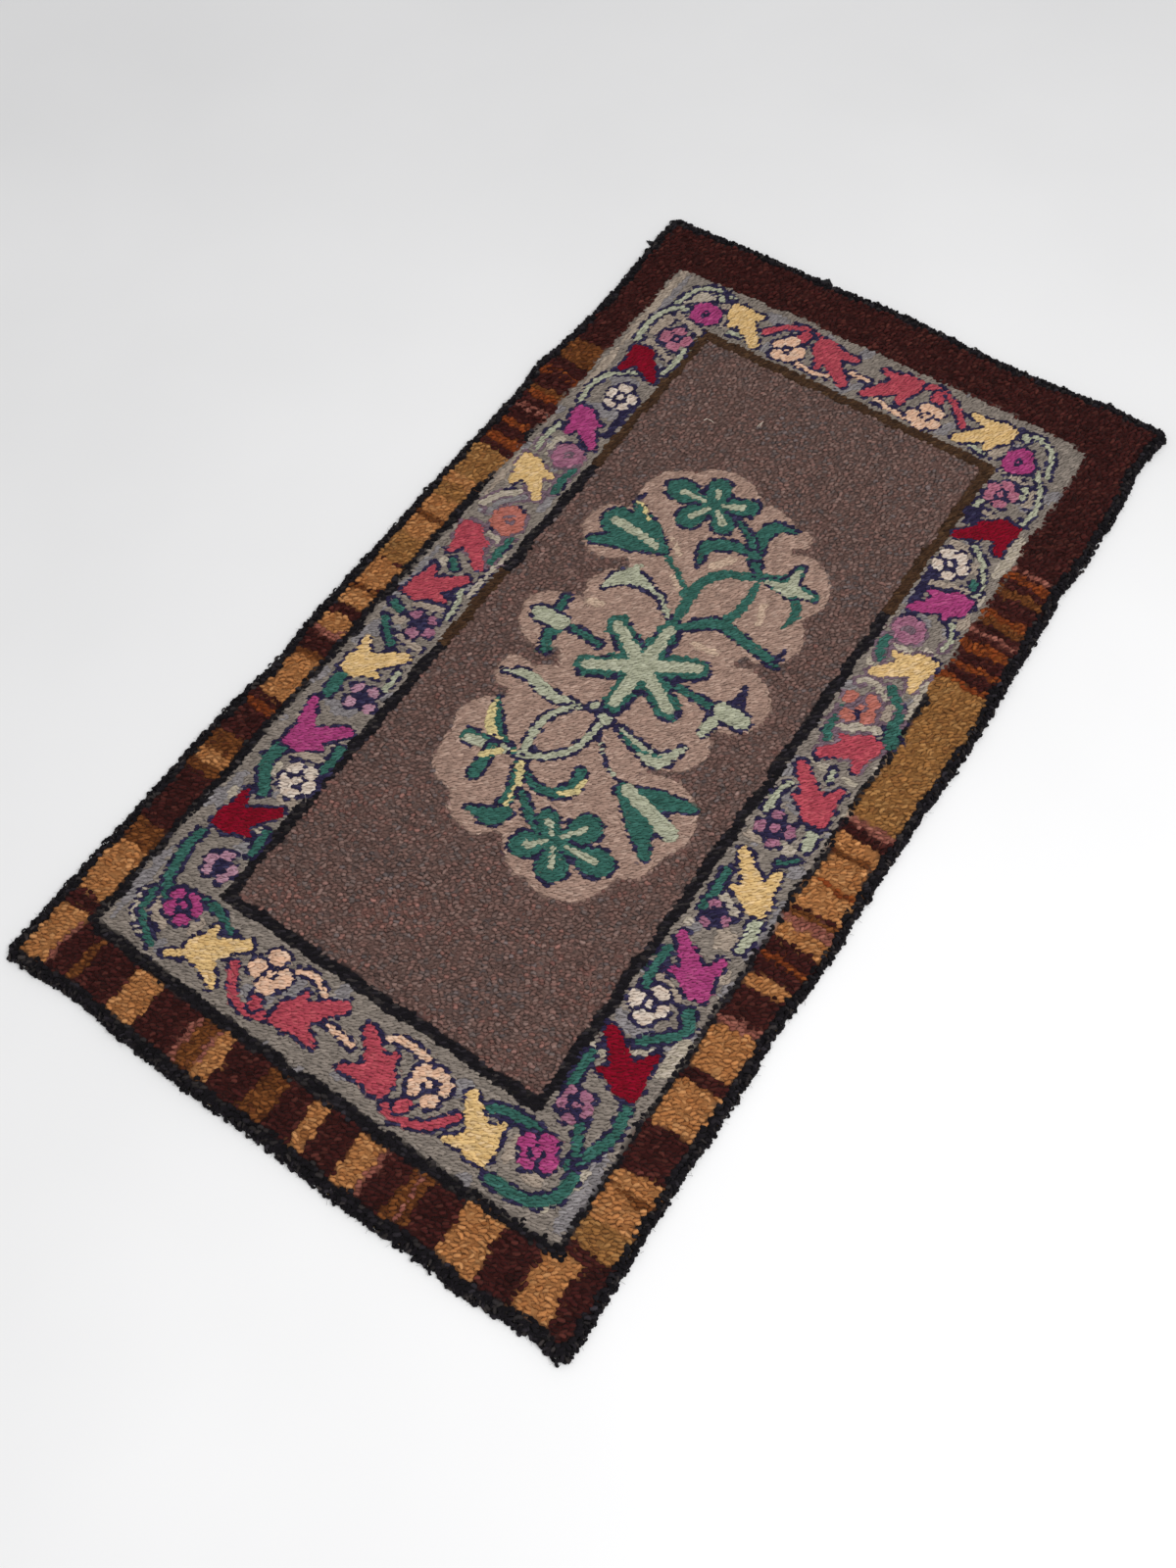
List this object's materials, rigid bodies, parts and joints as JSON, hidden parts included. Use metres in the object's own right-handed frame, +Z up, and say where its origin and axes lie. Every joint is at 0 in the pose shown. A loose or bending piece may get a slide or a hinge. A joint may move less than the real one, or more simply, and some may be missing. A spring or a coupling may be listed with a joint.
{
  "type": "hooked rug",
  "caption": "Small rectangular hooked wool rug with a striped outer band, a scrolling flower border and a leafy centre medallion on a heather field, lying flat.",
  "frame": {"origin": "middle of the flat underside", "axes": "+X across the rug, +Y along it towards the plain dark end, +Z up out of the pile"},
  "size_m": [0.7044, 1.2536, 0.0104],
  "materials": {
    "hooked_wool": "matte looped wool pile in many dyed colours",
    "foundation_cloth": "coarse undyed jute weave, seen on the underside",
    "binding_tape": "matte black cotton twill tape"
  },
  "bodies": {
    "root": {"hooked_mat": "hooked_wool", "binding_tape_end_far": "binding_tape", "binding_tape_end_left": "binding_tape"}
  },
  "joints": []
}
